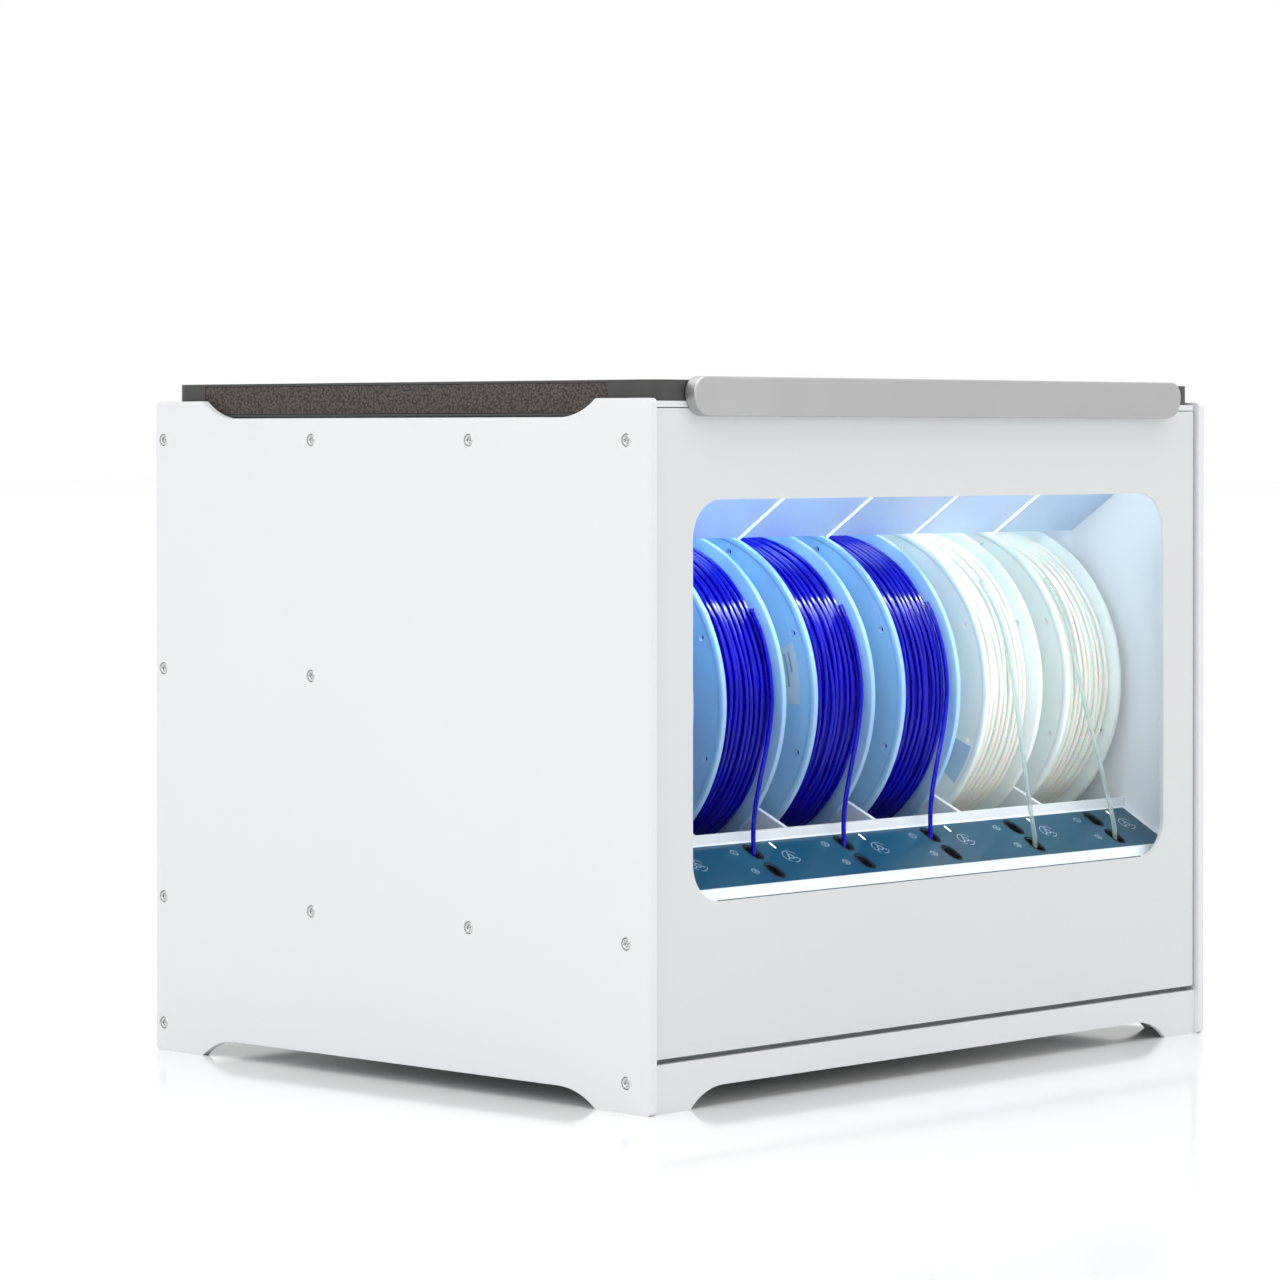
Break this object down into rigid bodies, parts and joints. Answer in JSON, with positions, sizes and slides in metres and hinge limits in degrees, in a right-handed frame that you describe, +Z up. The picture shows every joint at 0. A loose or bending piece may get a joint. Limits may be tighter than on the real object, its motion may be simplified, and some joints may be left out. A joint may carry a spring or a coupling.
{
  "type": "filament dryer box",
  "caption": "Desktop box that stores and dries filament spools on rollers behind a drop-down window door and feeds the filament out of the back.",
  "frame": {"origin": "middle of the bounding box at the surface it stands on", "axes": "+Z up; the door and its grip face -Y; +X to the right seen from the door side"},
  "size_m": [0.5, 0.4184, 0.4047],
  "materials": {
    "panel_white": "satin white powder coat, very fine texture",
    "side_white": "satin white powder coat on 5 mm plate",
    "door_white": "satin off-white moulding",
    "inner_white": "satin white interior",
    "cover_dark": "fine-textured dark grey",
    "foam": "speckled brown-grey foam",
    "screw_steel": "bright zinc",
    "handle_aluminium": "bead-blasted, clear anodised",
    "window_clear": "clear polished acrylic sheet",
    "seal_rubber": "matte black rubber",
    "control_gloss": "glossy dark slate",
    "indicator": "lit white light pipe",
    "light_diffuser": "lit opal diffuser",
    "spool_frosted": "frosted translucent moulding",
    "filament_blue": "deep blue glossy filament",
    "filament_natural": "natural translucent filament",
    "roller_grey": "matte grey rubber on a moulded core",
    "black_plastic": "matte black moulding",
    "dryer_grey": "matte grey moulding",
    "psu_steel": "plain plated sheet",
    "board_green": "green solder mask",
    "motor_black": "satin black",
    "tube_clear": "translucent slippery tube"
  },
  "bodies": {
    "case": {"left_side_panel": "side_white", "right_side_panel": "side_white", "side_panel_screws": "screw_steel", "inner_side_walls": "inner_white", "base_pan": "panel_white", "bay_shell": "inner_white", "back_panel": "panel_white", "front_bezel": "inner_white", "top_frame": "panel_white", "top_cover": "cover_dark", "side_foam_strips": "foam", "ceiling_apron": "inner_white", "light_bar": "light_diffuser", "bay_dividers": "inner_white", "feed_tray": "inner_white", "control_panel": "control_gloss", "slot_indicators": "indicator", "feed_funnels": "black_plastic", "roller_rods": "screw_steel", "hinge_pins": "screw_steel", "loaded_filament": "filament_blue", "feeder_block": "black_plastic", "feed_motor": "motor_black", "guide_tubes": "tube_clear", "outlet_manifold": "black_plastic", "dryer_housing": "dryer_grey", "power_supply": "psu_steel", "main_board": "board_green", "power_inlet": "black_plastic"},
    "door": {"door_frame": "door_white", "door_window": "window_clear", "door_gasket": "seal_rubber", "door_handle": "handle_aluminium", "door_magnets": "screw_steel"},
    "fan": {"dryer_fan": "black_plastic"},
    "feed_drive": {"feed_shaft": "screw_steel"},
    "loaded_spool_1": {"spool_1": "spool_frosted", "filament_1": "filament_blue"},
    "front_roller_1": {"front_roller_1": "roller_grey"},
    "rear_roller_1": {"rear_roller_1": "roller_grey"},
    "loaded_spool_2": {"spool_2": "spool_frosted", "filament_2": "filament_blue"},
    "front_roller_2": {"front_roller_2": "roller_grey"},
    "rear_roller_2": {"rear_roller_2": "roller_grey"},
    "loaded_spool_3": {"spool_3": "spool_frosted", "filament_3": "filament_blue"},
    "front_roller_3": {"front_roller_3": "roller_grey"},
    "rear_roller_3": {"rear_roller_3": "roller_grey"},
    "loaded_spool_4": {"spool_4": "spool_frosted", "filament_4": "filament_blue"},
    "front_roller_4": {"front_roller_4": "roller_grey"},
    "rear_roller_4": {"rear_roller_4": "roller_grey"},
    "loaded_spool_5": {"spool_5": "spool_frosted", "filament_5": "filament_natural"},
    "front_roller_5": {"front_roller_5": "roller_grey"},
    "rear_roller_5": {"rear_roller_5": "roller_grey"},
    "loaded_spool_6": {"spool_6": "spool_frosted", "filament_6": "filament_natural"},
    "front_roller_6": {"front_roller_6": "roller_grey"},
    "rear_roller_6": {"rear_roller_6": "roller_grey"}
  },
  "joints": [
    {"name": "door_hinge", "type": "hinge", "parent": "case", "child": "door", "pos_m": [0, -0.19785, 0.0365], "axis": [1, 0, 0], "range_deg": [0, 90]},
    {"name": "spool_1_turn", "type": "hinge", "parent": "case", "child": "loaded_spool_1", "pos_m": [-0.19625, -0.06035, 0.2185], "axis": [1, 0, 0], "continuous": true},
    {"name": "front_roller_1_turn", "type": "hinge", "parent": "case", "child": "front_roller_1", "pos_m": [-0.19625, -0.12419, 0.12733], "axis": [1, 0, 0], "continuous": true},
    {"name": "rear_roller_1_turn", "type": "hinge", "parent": "case", "child": "rear_roller_1", "pos_m": [-0.19625, 0.00349, 0.12733], "axis": [1, 0, 0], "continuous": true},
    {"name": "spool_2_turn", "type": "hinge", "parent": "case", "child": "loaded_spool_2", "pos_m": [-0.11775, -0.06035, 0.2185], "axis": [1, 0, 0], "continuous": true},
    {"name": "front_roller_2_turn", "type": "hinge", "parent": "case", "child": "front_roller_2", "pos_m": [-0.11775, -0.12419, 0.12733], "axis": [1, 0, 0], "continuous": true},
    {"name": "rear_roller_2_turn", "type": "hinge", "parent": "case", "child": "rear_roller_2", "pos_m": [-0.11775, 0.00349, 0.12733], "axis": [1, 0, 0], "continuous": true},
    {"name": "spool_3_turn", "type": "hinge", "parent": "case", "child": "loaded_spool_3", "pos_m": [-0.03925, -0.06035, 0.2185], "axis": [1, 0, 0], "continuous": true},
    {"name": "front_roller_3_turn", "type": "hinge", "parent": "case", "child": "front_roller_3", "pos_m": [-0.03925, -0.12419, 0.12733], "axis": [1, 0, 0], "continuous": true},
    {"name": "rear_roller_3_turn", "type": "hinge", "parent": "case", "child": "rear_roller_3", "pos_m": [-0.03925, 0.00349, 0.12733], "axis": [1, 0, 0], "continuous": true},
    {"name": "spool_4_turn", "type": "hinge", "parent": "case", "child": "loaded_spool_4", "pos_m": [0.03925, -0.06035, 0.2185], "axis": [1, 0, 0], "continuous": true},
    {"name": "front_roller_4_turn", "type": "hinge", "parent": "case", "child": "front_roller_4", "pos_m": [0.03925, -0.12419, 0.12733], "axis": [1, 0, 0], "continuous": true},
    {"name": "rear_roller_4_turn", "type": "hinge", "parent": "case", "child": "rear_roller_4", "pos_m": [0.03925, 0.00349, 0.12733], "axis": [1, 0, 0], "continuous": true},
    {"name": "spool_5_turn", "type": "hinge", "parent": "case", "child": "loaded_spool_5", "pos_m": [0.11775, -0.06035, 0.2185], "axis": [1, 0, 0], "continuous": true},
    {"name": "front_roller_5_turn", "type": "hinge", "parent": "case", "child": "front_roller_5", "pos_m": [0.11775, -0.12419, 0.12733], "axis": [1, 0, 0], "continuous": true},
    {"name": "rear_roller_5_turn", "type": "hinge", "parent": "case", "child": "rear_roller_5", "pos_m": [0.11775, 0.00349, 0.12733], "axis": [1, 0, 0], "continuous": true},
    {"name": "spool_6_turn", "type": "hinge", "parent": "case", "child": "loaded_spool_6", "pos_m": [0.19625, -0.06035, 0.2185], "axis": [1, 0, 0], "continuous": true},
    {"name": "front_roller_6_turn", "type": "hinge", "parent": "case", "child": "front_roller_6", "pos_m": [0.19625, -0.12419, 0.12733], "axis": [1, 0, 0], "continuous": true},
    {"name": "rear_roller_6_turn", "type": "hinge", "parent": "case", "child": "rear_roller_6", "pos_m": [0.19625, 0.00349, 0.12733], "axis": [1, 0, 0], "continuous": true},
    {"name": "feed_shaft_turn", "type": "hinge", "parent": "case", "child": "feed_drive", "pos_m": [0, -0.1708, 0.0674], "axis": [1, 0, 0], "continuous": true},
    {"name": "fan_turn", "type": "hinge", "parent": "case", "child": "fan", "pos_m": [-0.1, 0.17265, 0.2785], "axis": [0, 1, 0], "continuous": true}
  ],
  "couplings": [
    {"joint": "front_roller_1_turn", "follows": "spool_1_turn", "ratio": -9.0909},
    {"joint": "rear_roller_1_turn", "follows": "spool_1_turn", "ratio": -9.0909},
    {"joint": "front_roller_2_turn", "follows": "spool_2_turn", "ratio": -9.0909},
    {"joint": "rear_roller_2_turn", "follows": "spool_2_turn", "ratio": -9.0909},
    {"joint": "front_roller_3_turn", "follows": "spool_3_turn", "ratio": -9.0909},
    {"joint": "rear_roller_3_turn", "follows": "spool_3_turn", "ratio": -9.0909},
    {"joint": "front_roller_4_turn", "follows": "spool_4_turn", "ratio": -9.0909},
    {"joint": "rear_roller_4_turn", "follows": "spool_4_turn", "ratio": -9.0909},
    {"joint": "front_roller_5_turn", "follows": "spool_5_turn", "ratio": -9.0909},
    {"joint": "rear_roller_5_turn", "follows": "spool_5_turn", "ratio": -9.0909},
    {"joint": "front_roller_6_turn", "follows": "spool_6_turn", "ratio": -9.0909},
    {"joint": "rear_roller_6_turn", "follows": "spool_6_turn", "ratio": -9.0909}
  ]
}
